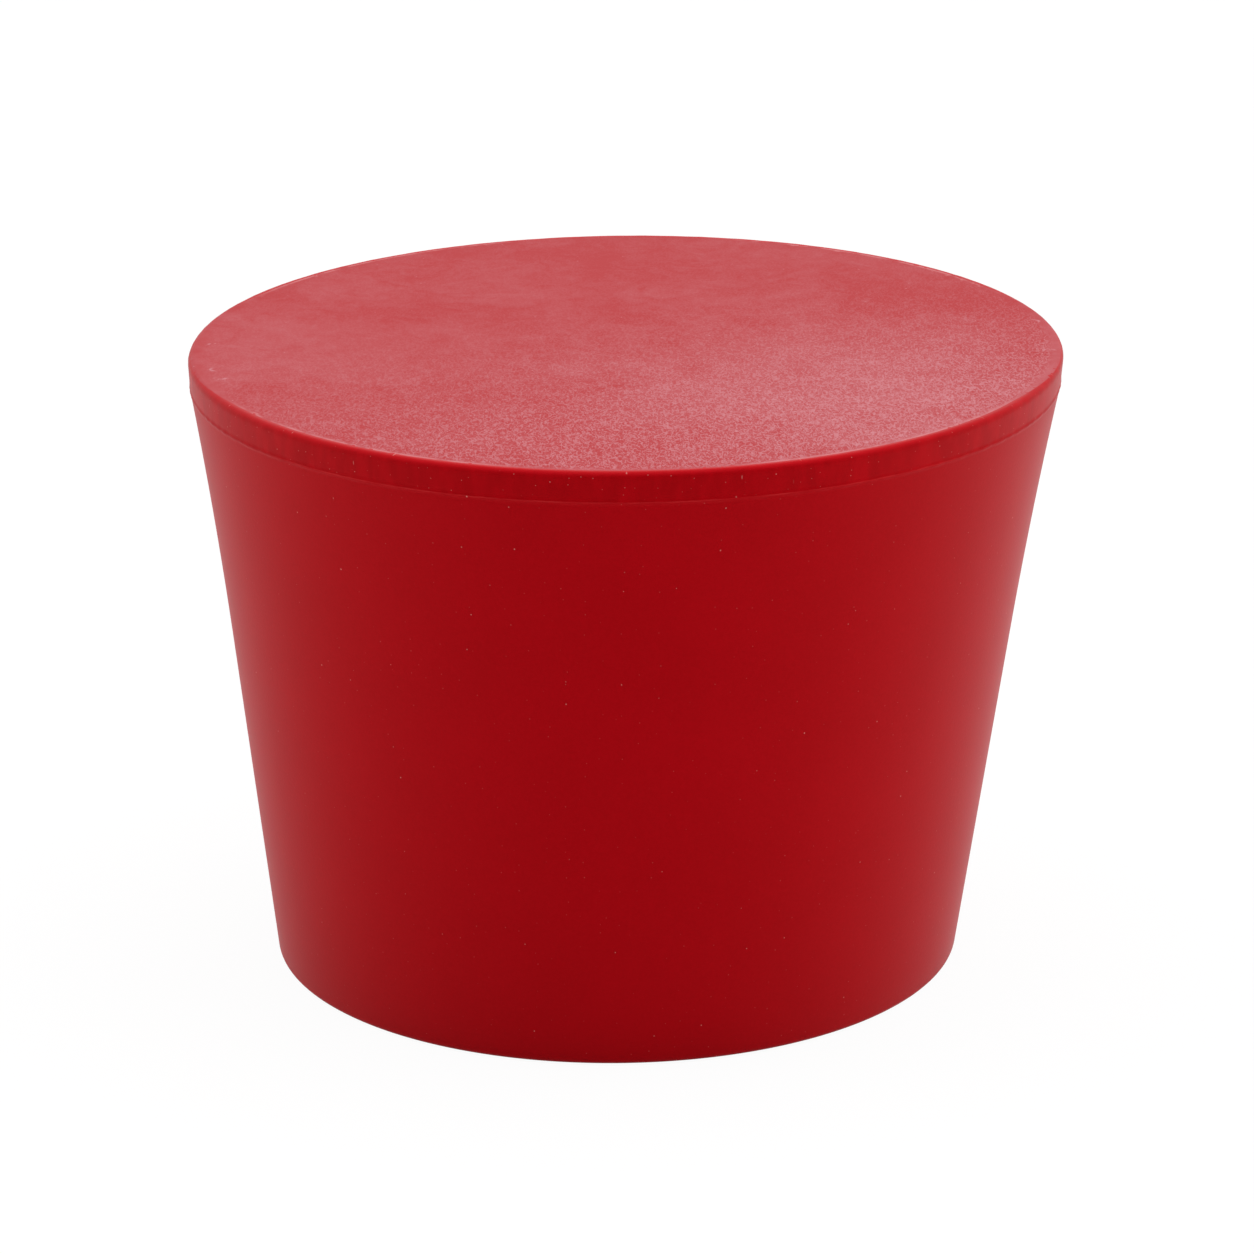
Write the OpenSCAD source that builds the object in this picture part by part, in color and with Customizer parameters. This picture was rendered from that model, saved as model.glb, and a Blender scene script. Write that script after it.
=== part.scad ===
/* [Ends] */
// Diameter of the large end, where the rim band's slope meets the end face
top_d = 41.5; // [37:0.1:48]
// Diameter of the small end, where the wall's taper meets the end face
foot_d = 33.1; // [26:0.1:36]
// Height from the small end's face to the large end's face
height = 30; // [22:0.5:45]

/* [Rim band] */
// Height from the parting line up to the large end's face
band_h = 1.4; // [1:0.1:3]
// How far the band draws in from the large end down to the parting line
band_draw = 0.09; // [0.03:0.01:0.2]

/* [Parting line] */
// How far the lip left by the mould stands out from the band and the wall
lip_out = 0.04; // [0.02:0.01:0.1]
// Height of that lip, over its rounded edge
lip_h = 0.2; // [0.12:0.02:0.3]

/* [Wall] */
// Length of wall below the parting line that flares out of the straight taper
flare_h = 12; // [4:0.5:16]
// How far the flare carries the wall out by the time it meets the parting line
flare_out = 0.3; // [0.1:0.05:0.5]

/* [Edges] */
// Radius of the large end's edge
top_edge_r = 0.2; // [0.1:0.05:0.5]
// Radius of the small end's edge
foot_edge_r = 0.35; // [0.1:0.05:0.8]

/* [Hidden] */
$fn = 180;

top_r = top_d / 2;
foot_r = foot_d / 2;

// The parting line's height, and the radius at which band and wall meet it
line_z = height - band_h;
line_r = top_r - band_draw;

// The wall's straight taper, and the angles of wall and band from the axis
taper_a = atan2(line_r - flare_out - foot_r, line_z);
band_a = atan2(band_draw, band_h);

// The flare is one arc, tangent to the taper where it starts and ending on the parting line
flare_z = line_z - flare_h;
flare_start = [foot_r + flare_z * tan(taper_a), flare_z];
flare_end = [line_r, line_z];
wall_out = [cos(taper_a), -sin(taper_a)];
flare_chord = flare_end - flare_start;
flare_r = (flare_chord * flare_chord) / (2 * flare_chord * wall_out);
// The arc is sunk by a hair, so that it crosses the taper cleanly instead of only touching it
flare_sink = 0.002;
flare_c = flare_start + (flare_r - flare_sink) * wall_out;
// Sides of the flare's large circle, fine enough to show its curve
flare_fn = 1440;

// Radius and place of the circle whose outer edge is the lip
lip_r = (lip_h * lip_h / 4 + lip_out * lip_out) / (2 * lip_out);
lip_c = [line_r + lip_out - lip_r, line_z];

// Distance from a corner to where a round of radius r starts, for a wall at angle a past square
function round_start(r, a) = r / tan((90 + a) / 2);

// The way up a wall that leans out at angle a from the axis
function slope(a) = [sin(a), cos(a)];

foot_start = round_start(foot_edge_r, taper_a);
top_start = round_start(top_edge_r, -band_a);

// The rounds' centres, set out by a hair, so that each round crosses its wall cleanly as the flare does
round_out = 0.0005;
foot_c = [foot_r - foot_start + round_out, foot_edge_r];
top_c = [top_r - top_start + round_out, height - top_edge_r];

// Half of the section, from the axis out, with its corners cut back to the ends of their rounds
module section_blank() {
    polygon([
        [0, 0],
        [foot_c[0], 0],
        [foot_r, 0] + foot_start * slope(taper_a),
        flare_start,
        flare_end,
        [top_r, height] - top_start * slope(band_a),
        [top_c[0], height],
        [0, height]
    ]);
}

// The section with the flare hollowed into the wall, and the edges and lip rounded
module section() {
    difference() {
        section_blank();
        translate(flare_c) circle(r = flare_r, $fn = flare_fn);
    }
    translate(foot_c) circle(r = foot_edge_r);
    translate(top_c) circle(r = top_edge_r);
    translate(lip_c) circle(r = lip_r);
}

// One solid moulding, turned about its axis
module stopper() {
    color([0.58, 0.05, 0.08])
        rotate_extrude() section();
}

stopper();
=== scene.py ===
import math

import bpy
from mathutils import Matrix, Quaternion, Vector


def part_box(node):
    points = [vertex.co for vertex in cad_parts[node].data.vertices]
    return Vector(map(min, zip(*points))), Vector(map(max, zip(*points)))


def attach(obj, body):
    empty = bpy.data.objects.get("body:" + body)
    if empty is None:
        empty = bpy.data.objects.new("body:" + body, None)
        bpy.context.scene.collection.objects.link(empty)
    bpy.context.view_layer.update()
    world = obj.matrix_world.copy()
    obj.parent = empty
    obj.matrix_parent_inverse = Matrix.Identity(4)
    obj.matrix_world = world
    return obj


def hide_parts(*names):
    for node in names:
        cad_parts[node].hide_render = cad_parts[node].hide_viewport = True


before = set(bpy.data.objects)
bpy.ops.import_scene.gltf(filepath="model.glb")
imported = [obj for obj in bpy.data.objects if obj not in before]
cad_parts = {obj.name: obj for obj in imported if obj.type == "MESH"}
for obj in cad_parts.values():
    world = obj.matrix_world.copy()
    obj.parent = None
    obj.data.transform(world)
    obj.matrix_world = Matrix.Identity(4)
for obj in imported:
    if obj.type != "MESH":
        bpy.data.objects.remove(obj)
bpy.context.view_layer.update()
mm = 0.001
print("frame loaded:", list(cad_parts))


class Wire:
    # one socket of a node tree; sums written on it add Math nodes
    def __init__(self, tree, socket=None):
        self.tree = tree
        self.socket = socket

    # any node: its settings come first, then its sockets' values or links; out=None gives every output
    def node(self, kind, settings, values, out=0):
        made = self.tree.nodes.new(kind)
        for name, value in settings.items():
            setattr(made, name, value)
        for name, value in values.items():
            if isinstance(value, Wire):
                self.tree.links.new(value.socket, made.inputs[name])
            else:
                made.inputs[name].default_value = value
        wires = [Wire(self.tree, socket) for socket in made.outputs]
        if out is None:
            return wires
        return wires[out] if wires else None

    def maths(self, operation, *values):
        return self.node("ShaderNodeMath", {"operation": operation}, dict(enumerate(values)))

    def __add__(self, other):
        return self.maths("ADD", self, other)

    def __radd__(self, other):
        return self.maths("ADD", other, self)

    def __sub__(self, other):
        return self.maths("SUBTRACT", self, other)

    def __rsub__(self, other):
        return self.maths("SUBTRACT", other, self)

    def __mul__(self, other):
        return self.maths("MULTIPLY", self, other)

    def __rmul__(self, other):
        return self.maths("MULTIPLY", other, self)

    def __pow__(self, other):
        return self.maths("POWER", self, other)

    def __abs__(self):
        return self.maths("ABSOLUTE", self)

    def most(self, other):
        return self.maths("MAXIMUM", self, other)

    # 0 below low, 1 above high, soft between; low above high turns it round
    def rise(self, low, high):
        settings = {"interpolation_type": "SMOOTHSTEP"}
        return self.node("ShaderNodeMapRange", settings, {"Value": self, "From Min": low, "From Max": high})

    def split(self):
        return self.node("ShaderNodeSeparateXYZ", {}, {"Vector": self}, out=None)

    def scaled(self, factors):
        return self.node("ShaderNodeVectorMath", {"operation": "MULTIPLY"}, {0: self, 1: factors})

    def distance(self, point):
        return self.node("ShaderNodeVectorMath", {"operation": "DISTANCE"}, {0: self, 1: point}, out=1)

    def along(self, direction):
        settings = {"operation": "DOT_PRODUCT"}
        return self.node("ShaderNodeVectorMath", settings, {0: self, 1: direction}, out=1)

    # soft lumps about one size across, from 0 to 1, in the vector's own units
    def noise(self, size, detail=0.0, rough=0.5, warp=0.0):
        return self.node("ShaderNodeTexNoise", {}, {
            "Vector": self, "Scale": 1 / size, "Detail": detail, "Roughness": rough, "Distortion": warp})

    # that noise drawn apart into patches with gaps between them
    def patchy(self, size, detail=0.0, high=0.6):
        return self.noise(size, detail).rise(0.3, high)

    # winding lines where that noise crosses its middle; a larger sharpness thins them
    def ridges(self, size, sharpness, warp=0.0):
        return (1 - abs(self.noise(size, warp=warp) - 0.5) * sharpness).most(0)

    # round dots, at most one to a cell; share is the part of the cells that hold one
    def specks(self, cell, dotRadius, share):
        settings = {"voronoi_dimensions": "2D"}
        values = {"Vector": self, "Scale": 1 / cell}
        distance, tone = self.node("ShaderNodeTexVoronoi", settings, values, out=None)[:2]
        lots = self.node("ShaderNodeSeparateColor", {}, {"Color": tone}, out=None)
        reach = dotRadius * (0.5 + lots[1] * 0.5)  # from half to full size
        soft = dotRadius * 0.4
        return (distance * cell - reach).rise(soft, -soft) * lots[0].rise(1 - share, 1)

    # from one colour to the other; 6, 7 and 2 are the Mix node's sockets for colours
    def tint(self, colourA, colourB):
        values = {"Factor": self}
        for place, colour in ((6, colourA), (7, colourB)):
            values[place] = colour if isinstance(colour, Wire) else (*colour, 1)
        return self.node("ShaderNodeMix", {"data_type": "RGBA"}, values, out=2)


def freshTree(owner):
    owner.use_nodes = True
    owner.node_tree.nodes.clear()
    return Wire(owner.node_tree)


# Camera: the photograph's view, a long lens from a little above

view = {
    "imageSize": 1254,  # pixels across the square picture
    "focalPixels": 5676,
    "sensor": 36.0,
    "nearClip": 10 * mm,
    "distance": 274.25 * mm,  # from the middle of the stopper's height
    "elevation": 18.782,  # degrees
    "aim": (0.285 * mm, 0.0, 15.874 * mm),
    "roll": -0.4555,  # degrees
}


def addCamera(spec, middle):
    bpy.ops.object.select_all(action="DESELECT")
    rise = math.radians(spec["elevation"])
    place = middle + spec["distance"] * Vector((0, -math.cos(rise), math.sin(rise)))
    bpy.ops.object.camera_add(location=place)
    camera = bpy.context.object
    camera.name = "photoCamera"
    camera.data.sensor_width = spec["sensor"]
    camera.data.lens = spec["focalPixels"] / spec["imageSize"] * spec["sensor"]
    camera.data.clip_start = spec["nearClip"]
    camera.rotation_mode = "QUATERNION"
    turn = Quaternion((0, 0, 1), math.radians(spec["roll"]))
    camera.rotation_quaternion = (Vector(spec["aim"]) - place).to_track_quat("-Z", "Y") @ turn
    bpy.context.scene.camera = camera


nodeLow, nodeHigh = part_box("stopper")
height = nodeHigh.z - nodeLow.z
addCamera(view, Vector((0, 0, height / 2)))
print("camera set")


# The stopper: one moulding, drawn ring by ring along its half-section

body = {
    "segments": 720,
    "rimR": (nodeHigh.x - nodeLow.x) / 2,  # the widest circle, at the foot of the top edge's round
    "topEdgeR": 0.3 * mm,
    "bandHeight": 1.4 * mm,
    "bandDraw": 0.075 * mm,  # the band narrows this much down to the parting line
    "lipOut": 0.02 * mm,
    "lipHeight": 0.16 * mm,
    "flareHeight": 12 * mm,
    "flareOut": 0.3 * mm,
    "footR": 16.55 * mm,
    "footEdgeR": 0.35 * mm,
    "footRings": (0.4, 2, 5, 8, 11, 13.5, 15, 15.7),  # radii on the foot's face, in mm
    "footEdgeSteps": 8,
    "wallSteps": 12,
    "flareRings": (  # shares of the flare's height, closer towards the parting line
        1, 0.9, 0.8, 0.7, 0.6, 0.5, 0.4, 0.3, 0.22, 0.15, 0.1, 0.06, 0.03, 0.018, 0.011),
    "lipSteps": 8,
    "bandSteps": 8,
    "topEdgeSteps": 10,
    "faceRings": (  # distances in from the top edge's round, in mm
        0.04, 0.12, 0.25, 0.45, 0.7, 1.1, 1.7, 2.5, 3.5, 5, 7, 9, 11, 13, 15, 17, 19),
    "lean": 0.022,  # the moulding leans to its right by this much for each unit of height
    "rimRough": 0.02 * mm,  # unevenness left along the rim's edge
    "rimRoughSize": 0.7 * mm,
    "lipRough": 0.05 * mm,  # and along the lip, where the flash was torn off
    "lipRoughSize": 0.5 * mm,
    "roughDetail": 3,
}


def arc(centre, radius, start, end, steps):
    turns = [math.radians(start + (end - start) * i / steps) for i in range(steps + 1)]
    return [(centre[0] + radius * math.cos(t), centre[1] + radius * math.sin(t)) for t in turns]


def between(start, end, steps):
    return [(start[0] + (end[0] - start[0]) * i / steps, start[1] + (end[1] - start[1]) * i / steps)
            for i in range(1, steps)]


# the half-section as (radius, height) points, from the middle of the foot to the middle of the top
def sectionPoints(spec, top):
    lineZ = top - spec["bandHeight"]
    lineR = spec["rimR"] - spec["bandDraw"]
    footR = spec["footR"]
    footEdgeR = spec["footEdgeR"]
    topEdgeR = spec["topEdgeR"]
    taper = math.atan2(lineR - spec["flareOut"] - footR, lineZ)
    draft = math.atan2(spec["bandDraw"], spec["bandHeight"])
    wallTurn = -math.degrees(taper)
    bandTurn = -math.degrees(draft)

    footRings = [(r * mm, 0) for r in spec["footRings"]]
    footStart = footR - footEdgeR / math.tan((math.pi / 2 + taper) / 2)
    footRound = arc((footStart, footEdgeR), footEdgeR, -90, wallTurn, spec["footEdgeSteps"])
    flareZ = lineZ - spec["flareHeight"]
    flareStart = (footR + flareZ * math.tan(taper), flareZ)
    wall = between(footRound[-1], flareStart, spec["wallSteps"])
    flare = []
    for share in spec["flareRings"]:
        z = lineZ - share * spec["flareHeight"]
        flare.append((footR + z * math.tan(taper) + spec["flareOut"] * (1 - share) ** 2, z))
    lip = []
    for i in range(spec["lipSteps"]):
        across = i / spec["lipSteps"] * 2 - 1
        lip.append((lineR + spec["lipOut"] * (1 - across ** 2), lineZ + across * spec["lipHeight"] / 2))
    bandFoot = (lineR, lineZ + spec["lipHeight"] / 2)
    topCentre = (spec["rimR"] - topEdgeR, top - topEdgeR)
    rimRound = arc(topCentre, topEdgeR, bandTurn, 90, spec["topEdgeSteps"])
    band = [bandFoot] + between(bandFoot, rimRound[0], spec["bandSteps"])
    face = [(rimRound[-1][0] - step * mm, top) for step in spec["faceRings"]]
    return footRings + footRound + wall + flare + lip + band + rimRound + face


def drawRings(points, segments):
    bpy.ops.object.select_all(action="DESELECT")
    radius, level = points[0]
    bpy.ops.mesh.primitive_circle_add(
        vertices=segments, radius=radius, fill_type="NGON", location=(0, 0, 0))
    made = bpy.context.object
    bpy.ops.object.mode_set(mode="EDIT")
    bpy.ops.mesh.select_mode(type="EDGE")
    bpy.ops.mesh.select_all(action="SELECT")
    for nextRadius, nextLevel in points[1:]:
        bpy.ops.mesh.extrude_edges_move(TRANSFORM_OT_translate={"value": (0, 0, nextLevel - level)})
        growth = nextRadius / radius
        bpy.ops.transform.resize(value=(growth, growth, 1), center_override=(0, 0, nextLevel))
        radius, level = nextRadius, nextLevel
    bpy.ops.mesh.edge_face_add()  # closes the middle of the top
    bpy.ops.mesh.select_all(action="SELECT")
    bpy.ops.mesh.normals_make_consistent(inside=False)
    bpy.ops.object.mode_set(mode="OBJECT")
    return made


def roughen(piece, name, inside, depth, size, detail):
    chosen = [v.index for v in piece.data.vertices if inside(v.co)]
    piece.vertex_groups.new(name=name).add(chosen, 1.0, "REPLACE")
    clouds = bpy.data.textures.new(name, "CLOUDS")
    clouds.noise_scale = size
    clouds.noise_depth = detail
    shake = piece.modifiers.new(name, "DISPLACE")
    shake.texture = clouds
    shake.vertex_group = name
    shake.strength = depth
    shake.mid_level = 0.5
    bpy.ops.object.modifier_apply(modifier=name)


# the round of the top edge, short of the flat face
def onRim(point):
    edgeR = body["topEdgeR"]
    return point.z > height - 1.2 * edgeR and point.xy.length > body["rimR"] - 0.9 * edgeR


def onLip(point):
    return abs(point.z - height + body["bandHeight"]) < 0.6 * body["lipHeight"]


stopper = drawRings(sectionPoints(body, height), body["segments"])
stopper.name = "stopperBody"
stopper.data.name = "stopperBody"
roughen(stopper, "rimEdge", onRim, body["rimRough"], body["rimRoughSize"], body["roughDetail"])
roughen(stopper, "lipEdge", onLip, body["lipRough"], body["lipRoughSize"], body["roughDetail"])
middleUp = Matrix.Translation((0, 0, height / 2))
stopper.data.transform(middleUp @ Matrix.Shear("XY", 4, (body["lean"], 0)) @ middleUp.inverted())
bpy.ops.object.shade_smooth()
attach(stopper, "root")
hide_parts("stopper")
print("stopper modelled:", len(stopper.data.polygons), "faces")


# Dusty end faces: a pale bloom over the red, with soft clouds, a fine grain and a few scuffs; lengths in mm

dust = {
    "red": (0.372, 0.010, 0.015),
    "pale": (0.490, 0.160, 0.182),
    "least": 0.09,  # bloom at the back
    "frontMore": 0.27,
    "bloomTowards": (0.2, -0.98, 0),
    "bloomSpan": (-12, 20),
    "patches": (  # broad pale patches: place across and along the face, reach and how much more bloom
        (11, -8, 18, 0.28),
        (-17, -1, 9, 0.10),
    ),
    "cloudSize": 6.4,
    "cloudDepth": 0.35,
    "swirlSize": 2.2,
    "swirlDepth": 0.4,
    "swirlRelief": 0.015,
    "grainSize": 0.10,
    "grainDepth": 0.9,
    "wormSize": 0.17,
    "wormSharpness": 8.0,
    "wormDepth": 0.65,
    "grainRelief": 0.006,
    "grainDraw": (1, 0.4, 1),  # drawn out from front to back
    "grainTowards": (0.4, -0.85, 0),  # shows most at the front and right
    "grainSpan": (-9, 18),
    "grainLeast": 0.14,
    "grainInset": (0.3, 0.9),  # comes in between these distances from the rim
    "flecks": (2.0, 0.05, 0.5),  # cell, dot's radius and share of the cells
    "fleckMore": 0.8,
    "scuffR": 0.28,
    "scuffWidth": 0.12,
    "scuffCurl": (-0.05, 0.2),  # the part of each ring that is drawn
    "scuffGaps": 0.2,
    "scuffMore": 0.8,
    "scuffs": (  # place across and along the face, and which way each curl faces, in degrees
        (-19.6, 0.6, 120),
        (-18.9, -5.0, 270),
        (-19.2, -3.6, 200),
        (20.0, -1.6, 90),
        (18.0, -6.8, 80),
        (16.0, -7.5, 260),
        (19.6, 3.6, 30),
    ),
    "wornInset": (0.9, 0.45),  # worn thin between these distances from the rim
    "wornSize": 1.3,
    "wornLess": 0.07,
}


def scuffMarks(spec, place, topZ):
    marks = 0
    for across, along, turn in spec["scuffs"]:
        centre = (across, along, topZ)
        facing = Vector((math.cos(math.radians(turn)), math.sin(math.radians(turn)), 0))
        ring = abs(place.distance(centre) - spec["scuffR"]).rise(spec["scuffWidth"], 0)
        curl = (place.along(facing) - facing.dot(centre)).rise(*spec["scuffCurl"])
        marks = (ring * curl).most(marks)
    return marks * place.patchy(spec["scuffGaps"])


# how pale the bloom is at each place, and the height of its grain
def bloomOn(spec, place, inset, topZ):
    front = place.along(spec["bloomTowards"]).rise(*spec["bloomSpan"])
    clouds = place.noise(spec["cloudSize"], detail=4.0, rough=0.6, warp=0.8) - 0.5
    swirls = place.noise(spec["swirlSize"], detail=3.0, rough=0.6, warp=1.5) - 0.5
    drawn = place.scaled(spec["grainDraw"])
    worms = drawn.ridges(spec["wormSize"], spec["wormSharpness"], warp=0.8) - 0.4
    grain = (drawn.noise(spec["grainSize"], detail=1.0) - 0.5) * spec["grainDepth"]
    grain = grain + worms * spec["wormDepth"]
    shown = place.along(spec["grainTowards"]).rise(*spec["grainSpan"])
    shown = shown * (1 - spec["grainLeast"]) + spec["grainLeast"]
    grain = grain * shown * inset.rise(*spec["grainInset"])
    worn = inset.rise(*spec["wornInset"]) * place.patchy(spec["wornSize"])
    bloom = spec["least"] + front * spec["frontMore"]
    for across, along, reach, more in spec["patches"]:
        bloom = bloom + place.distance((across, along, topZ)).rise(reach, 0) * more
    bloom = bloom + clouds * spec["cloudDepth"] + swirls * spec["swirlDepth"] + grain
    bloom = bloom + place.specks(*spec["flecks"]) * spec["fleckMore"]
    bloom = bloom + scuffMarks(spec, place, topZ) * spec["scuffMore"] - worn * spec["wornLess"]
    return bloom, grain * spec["grainRelief"] + swirls * spec["swirlRelief"]


# Red rubber: a satin moulded wall, a specked band, a bare edge with a painted glow, and the dusty faces;
# lengths in mm

rubber = {
    "wallRed": (0.362, 0.0002, 0.0034),
    "wallDeep": (0.330, 0.0001, 0.0027),
    "slowSize": 5.0,  # slow mottling of the wall
    "slowDepth": 1.2,
    "streakSize": 0.9,
    "streakDraw": (1, 1, 0.08),  # drawn out down the wall
    "streakDepth": 0.25,
    "fineSize": 0.13,
    "fineDepth": 2.0,
    "fineRelief": 0.004,
    "shadeLess": 1.22,  # brings the sum of these three down to about the middle
    "bandRed": (0.378, 0.0003, 0.0034),
    "bandDeep": (0.315, 0.0001, 0.0024),
    "bandSpan": (-0.02, 0.06),  # starts between these heights above the parting line
    "mottleSize": 0.7,
    "mottleDraw": (1, 1, 0.35),
    "mottleSpan": (0.3, 0.75),
    "wanderSize": 0.5,  # unevenness of the borders
    "faceWander": 0.05,
    "edgeWander": 0.06,
    "nickSize": 0.4,
    "nickSpan": (0.68, 0.76),
    "nickDepth": 0.12,
    "rimBare": 0.42,  # width of the rim that is bare of bloom along the front
    "endBare": 0.12,  # and at its left and right ends
    "endSpan": (17.5, 20.5),
    "faceSoft": 0.02,
    "faceDown": (0.15, 0.1),  # the bloom stops between these depths below the face
    "footUp": (0.10, 0.02),  # and at the foot between these heights
    # painted glow: the bare edge's round made brighter red, standing in for light through the rubber and
    # the extra light on its upward-facing round
    "paintedEdgeGlow": (0.46, 0.0015, 0.0060),
    "edgeDepth": 0.2,
    "edgeShown": 0.95,
    "edgeEndLess": 0.35,  # fainter at the left and right ends
    "edgeEndSpan": (9, 19),
    "rimHighlight": (0.58, 0.19, 0.20),  # painted highlight: a thin pale line where the bloom starts, along the edge that catches the light
    "rimLineSpan": (0.25, 0.05),
    "rimLineStart": (4, 7),  # distances to the left and right
    "rimLineStop": (19, 16),
    "rimLineGaps": 0.8,
    "rimLineShown": 0.6,
    "lineHighlight": (0.52, 0.028, 0.030),  # the parting line at the front and back, pale as a painted highlight
    "lineShadow": (0.27, 0.0020, 0.0050),  # and at the sides, dark as a painted shadow under its step
    "linePaleShare": 0.6,
    "linePaleSpan": (0, 3),
    "lineWidth": 0.05,
    "lineGaps": 1.5,
    "lineLeast": 0.12,
    "lineMore": 0.4,
    "speckPale": (0.66, 0.30, 0.27),
    "speckShown": 0.45,
    "wallDots": (2.4, 0.036, 0.5),  # cell, dot's radius and share of the cells
    "wallDotShown": 1.3,
    "wallSpecks": (0.9, 0.028, 0.6),
    "wallSpeckShown": 0.5,
    "bandSpecks": (0.5, 0.024, 0.55),
    "bandDots": (1.7, 0.038, 0.35),
    "bandDashes": (1.3, 0.030, 0.25),
    "dashDraw": (1, 0.3, 1),
    "dashShown": 0.6,
    "wallRough": 0.42,
    "faceRough": 0.80,
    "specular": 0.004,
    "sheen": 0.2,
    "sheenRough": 0.41,
    "bumpStrength": 0.8,
}


# where each zone of the surface lies, from 0 to 1
def zonesOn(spec, place, radius, inset, lineZ, topZ):
    x, y, z = place.split()
    aside = abs(x)
    wander = place.noise(spec["wanderSize"], detail=2.0) - 0.5
    nicks = place.noise(spec["nickSize"]).rise(*spec["nickSpan"])
    bare = aside.rise(*spec["endSpan"]) * (spec["endBare"] - spec["rimBare"]) + spec["rimBare"]
    pastBare = inset - bare + wander * spec["faceWander"] - nicks * spec["nickDepth"]
    face = pastBare.rise(-spec["faceSoft"], spec["faceSoft"]) * (topZ - z).rise(*spec["faceDown"])
    # painted glow on the edge's round, fading out below the face
    edge = (topZ - z - wander * spec["edgeWander"]).rise(spec["edgeDepth"], 0)
    # painted highlight along the face's edge
    rimShine = pastBare.rise(*spec["rimLineSpan"]) * face * place.patchy(spec["rimLineGaps"], detail=2.0)
    rimShine = rimShine * aside.rise(*spec["rimLineStart"]) * aside.rise(*spec["rimLineStop"])
    line = abs(z - lineZ + wander * spec["edgeWander"]).rise(spec["lineWidth"], 0)
    lineShown = place.patchy(spec["lineGaps"], detail=3.0, high=0.7) * spec["lineMore"] + spec["lineLeast"]
    return {
        "dust": face.most(z.rise(*spec["footUp"])),
        "band": (z - lineZ).rise(*spec["bandSpan"]),
        "edge": edge * (spec["edgeShown"] - aside.rise(*spec["edgeEndSpan"]) * spec["edgeEndLess"]),
        "rimShine": rimShine * spec["rimLineShown"],
        "line": line * lineShown,
        # the parting line's painted highlight at the front and back, its painted shadow at the sides
        "lineHighlightSide": (abs(y) - radius * spec["linePaleShare"]).rise(*spec["linePaleSpan"]),
    }


# smooth wall: slow mottling, faint streaks down it and a fine grain
def wallTone(spec, place, fine):
    slow = place.noise(spec["slowSize"], detail=3.0)
    streaks = place.scaled(spec["streakDraw"]).noise(spec["streakSize"], detail=2.0)
    shade = slow * spec["slowDepth"] + streaks * spec["streakDepth"] + fine * spec["fineDepth"]
    return (shade - spec["shadeLess"]).tint(spec["wallDeep"], spec["wallRed"])


def bandTone(spec, place):
    mottle = place.scaled(spec["mottleDraw"]).noise(spec["mottleSize"], detail=3.0, rough=0.6)
    return mottle.rise(*spec["mottleSpan"]).tint(spec["bandDeep"], spec["bandRed"])


def speckMarks(spec, unrolled, band):
    wallDots = unrolled.specks(*spec["wallDots"]) * spec["wallDotShown"]
    wallSpecks = unrolled.specks(*spec["wallSpecks"]) * spec["wallSpeckShown"]
    dashes = unrolled.scaled(spec["dashDraw"]).specks(*spec["bandDashes"]) * spec["dashShown"]
    bandSpecks = unrolled.specks(*spec["bandSpecks"]).most(unrolled.specks(*spec["bandDots"]))
    specks = wallSpecks.most(wallDots) * (1 - band) + bandSpecks.most(dashes) * band
    return specks * spec["speckShown"]


def rubberMaterial(spec, dusting, shape, top):
    mat = bpy.data.materials.new("redRubber")
    tree = freshTree(mat)
    topZ = top / mm
    lineZ = topZ - shape["bandHeight"] / mm
    rimR = shape["rimR"] / mm
    leaning = tree.node("ShaderNodeTexCoord", {}, {}, out=3)  # Object coordinates
    x, y, z = leaning.scaled((1 / mm, 1 / mm, 1 / mm)).split()
    x = x - (z - topZ / 2) * shape["lean"]
    place = tree.node("ShaderNodeCombineXYZ", {}, {"X": x, "Y": y, "Z": z})  # the lean taken out
    radius = (x * x + y * y) ** 0.5
    inset = rimR - radius
    around = x.maths("ARCTAN2", x, 0 - y) * rimR  # round the wall from the front
    unrolled = tree.node("ShaderNodeCombineXYZ", {}, {"X": around, "Y": z})
    zones = zonesOn(spec, place, radius, inset, lineZ, topZ)
    onDust = zones["dust"]

    # wall and band, the painted glow on the edge above, the parting line between them with its painted
    # highlight and shadow, and specks over all
    fine = place.noise(spec["fineSize"], detail=1.0)
    colour = zones["band"].tint(wallTone(spec, place, fine), bandTone(spec, place))
    # painted glow on the bare edge
    colour = zones["edge"].tint(colour, spec["paintedEdgeGlow"])
    # parting line: painted highlight at the front and back, painted shadow at the sides
    colour = zones["line"].tint(colour, zones["lineHighlightSide"].tint(spec["lineShadow"], spec["lineHighlight"]))
    colour = speckMarks(spec, unrolled, zones["band"]).tint(colour, spec["speckPale"])

    bloom, faceRelief = bloomOn(dusting, place, inset, topZ)
    colour = onDust.tint(colour, bloom.tint(dusting["red"], dusting["pale"]))
    # painted highlight along the face's edge
    colour = zones["rimShine"].tint(colour, spec["rimHighlight"])

    rough = onDust * (spec["faceRough"] - spec["wallRough"]) + spec["wallRough"]
    relief = faceRelief * onDust + fine * spec["fineRelief"] * (1 - onDust)
    normal = tree.node("ShaderNodeBump", {}, {
        "Height": relief * mm, "Strength": spec["bumpStrength"], "Distance": 1.0})
    shader = tree.node("ShaderNodeBsdfPrincipled", {}, {
        "Base Color": colour, "Roughness": rough, "Normal": normal, "Specular IOR Level": spec["specular"],
        "Sheen Weight": spec["sheen"], "Sheen Roughness": spec["sheenRough"]})
    tree.node("ShaderNodeOutputMaterial", {}, {"Surface": shader})
    return mat


stopper.data.materials.clear()
stopper.data.materials.append(rubberMaterial(rubber, dust, body, height))
print("rubber finished")


# Floor and light: a white sweep, a soft box above, a studio that is dimmer on the camera's side

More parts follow.
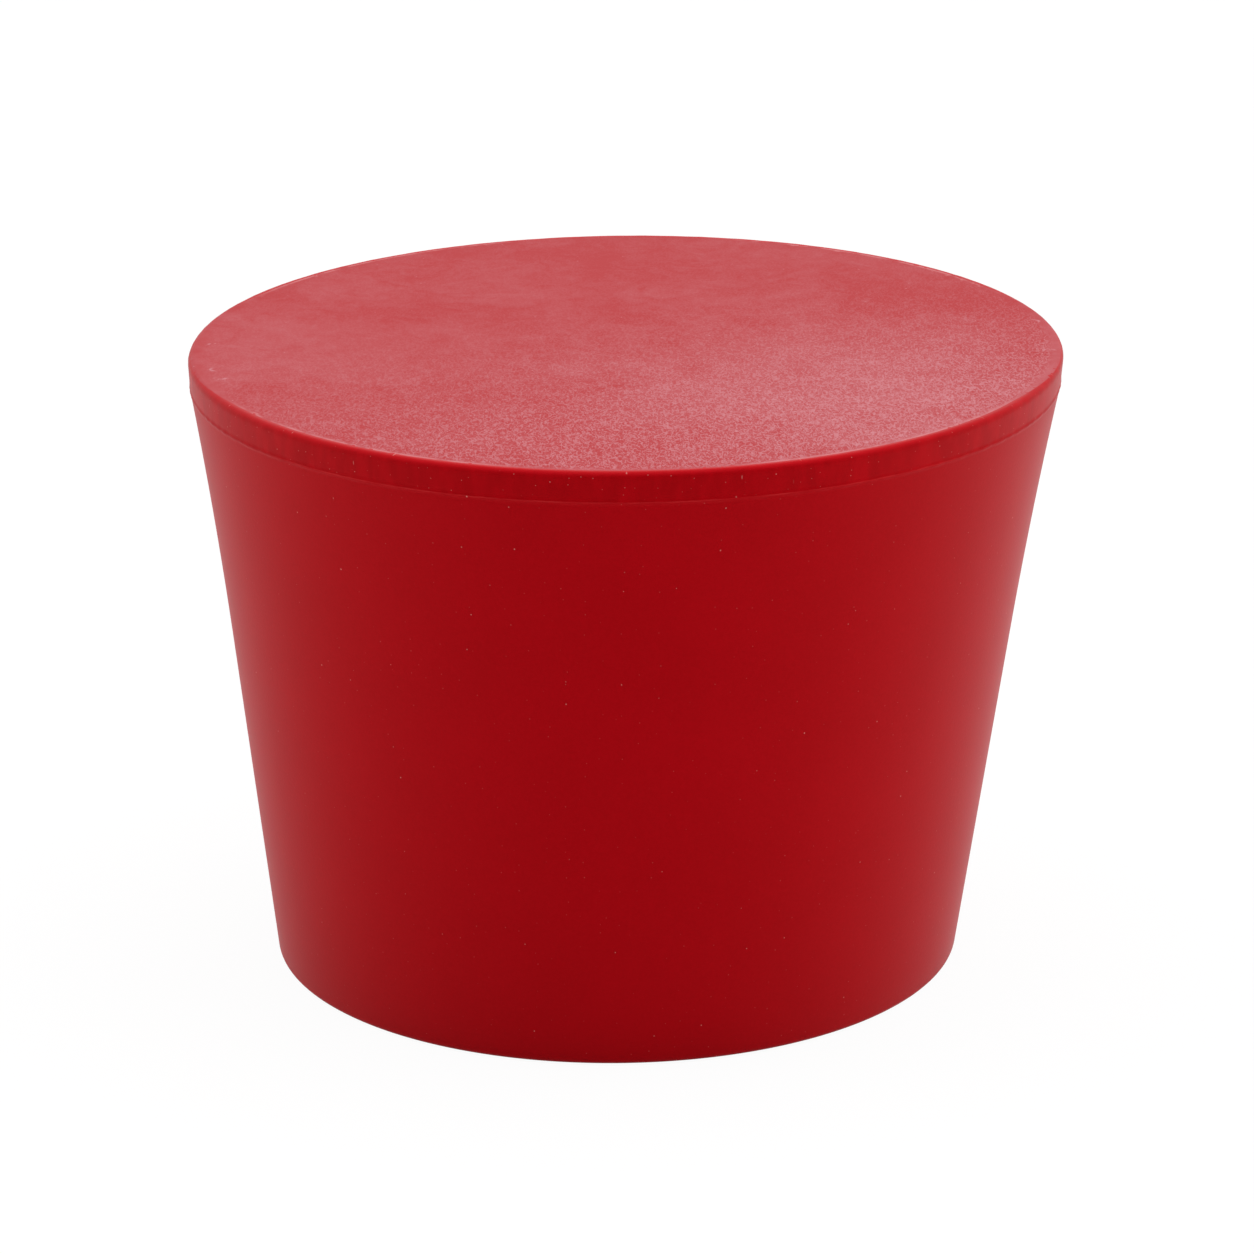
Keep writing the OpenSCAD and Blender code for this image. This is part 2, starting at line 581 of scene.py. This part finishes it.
studio = {
    "floorSize": 4.0,
    "floorGap": 0.01 * mm,  # keeps the floor clear of the foot's own face
    "floorPale": (0.95, 0.95, 0.95),
    "floorWhite": 0.94,  # share of plain white that the floor shows to the camera and in gloss
    "backLevel": 1.15,
    "frontLevel": 0.0,
    "frontSpan": (-0.8, -0.1),  # how far round the dim side reaches, as the sine towards the back
    "rightBias": 0.2,  # turns the dim side a little to the left
    "sideLevel": 1.4,  # more from the left and the right
    "sideSharp": 4,
    "boxSize": 0.6,
    "boxPlace": (0.10, -0.08, 0.75),
    "boxPower": 2.0,
}


def floorMaterial(spec):
    mat = bpy.data.materials.new("whiteSweep")
    tree = freshTree(mat)
    rays = {wire.socket.name: wire for wire in tree.node("ShaderNodeLightPath", {}, {}, out=None)}
    seen = rays["Is Camera Ray"].most(rays["Is Glossy Ray"]).most(rays["Is Transmission Ray"])
    plain = tree.node("ShaderNodeBsdfDiffuse", {}, {"Color": (*spec["floorPale"], 1)})
    white = tree.node("ShaderNodeEmission", {}, {"Color": (1, 1, 1, 1), "Strength": 1.0})
    mixed = tree.node("ShaderNodeMixShader", {}, {0: seen * spec["floorWhite"], 1: plain, 2: white})
    tree.node("ShaderNodeOutputMaterial", {}, {"Surface": mixed})
    return mat


def addFloor(spec):
    bpy.ops.object.select_all(action="DESELECT")
    bpy.ops.mesh.primitive_plane_add(size=spec["floorSize"], location=(0, 0, -spec["floorGap"]))
    floor = bpy.context.object
    floor.name = "floor"
    floor.data.materials.append(floorMaterial(spec))


def addLight(spec):
    world = bpy.data.worlds.new("softStudio")
    bpy.context.scene.world = world
    tree = freshTree(world)
    toward = tree.node("ShaderNodeTexCoord", {}, {}, out=0)  # the way that the light comes from
    across, depth = toward.split()[:2]
    behind = (depth + across * spec["rightBias"]).rise(*spec["frontSpan"])
    level = behind * (spec["backLevel"] - spec["frontLevel"]) + spec["frontLevel"]
    level = level + abs(across) ** spec["sideSharp"] * spec["sideLevel"]
    glow = tree.node("ShaderNodeBackground", {}, {"Color": (1, 1, 1, 1), "Strength": level})
    tree.node("ShaderNodeOutputWorld", {}, {"Surface": glow})
    bpy.ops.object.light_add(type="AREA", location=spec["boxPlace"])
    lamp = bpy.context.object
    lamp.name = "softBox"
    lamp.data.size = spec["boxSize"]
    lamp.data.energy = spec["boxPower"]
    lamp.rotation_mode = "QUATERNION"
    lamp.rotation_quaternion = (-Vector(spec["boxPlace"])).to_track_quat("-Z", "Y")


addFloor(studio)
addLight(studio)
bpy.context.scene.view_settings.view_transform = "Standard"
print("studio lit")
